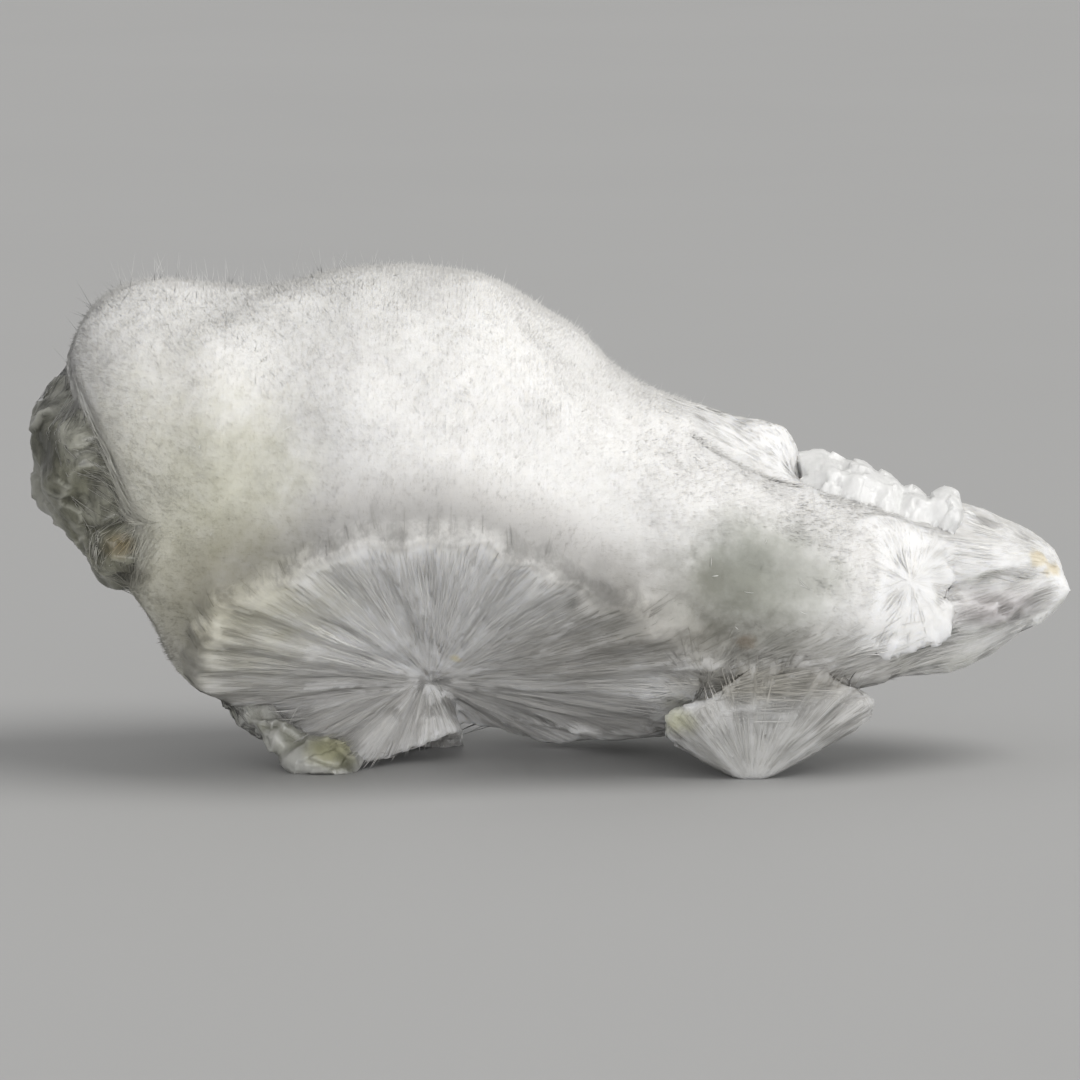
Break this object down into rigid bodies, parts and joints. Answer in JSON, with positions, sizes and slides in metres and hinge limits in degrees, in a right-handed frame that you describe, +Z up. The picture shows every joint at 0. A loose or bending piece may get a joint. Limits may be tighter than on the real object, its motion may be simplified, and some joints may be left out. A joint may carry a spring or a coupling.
{
  "type": "okenite puffball",
  "caption": "Natural mineral specimen: a ball of white okenite needles, broken through at the front, tapering to a narrow tail, with scraps of glassy rind.",
  "frame": {"origin": "middle of the footprint of the whole specimen, on the surface that it rests on", "axes": "+X towards the tapered tail, -Y towards the broken front face, +Z up"},
  "size_m": [0.0423, 0.0184, 0.0208],
  "materials": {
    "okenite": "silky white needles, matt on the puff and satin on the broken fans",
    "rind": "translucent greyish glassy crust"
  },
  "bodies": {
    "root": {"okenite": "okenite", "left_rind": "rind", "foot_rind": "rind", "ridge_rind": "rind"}
  },
  "joints": []
}
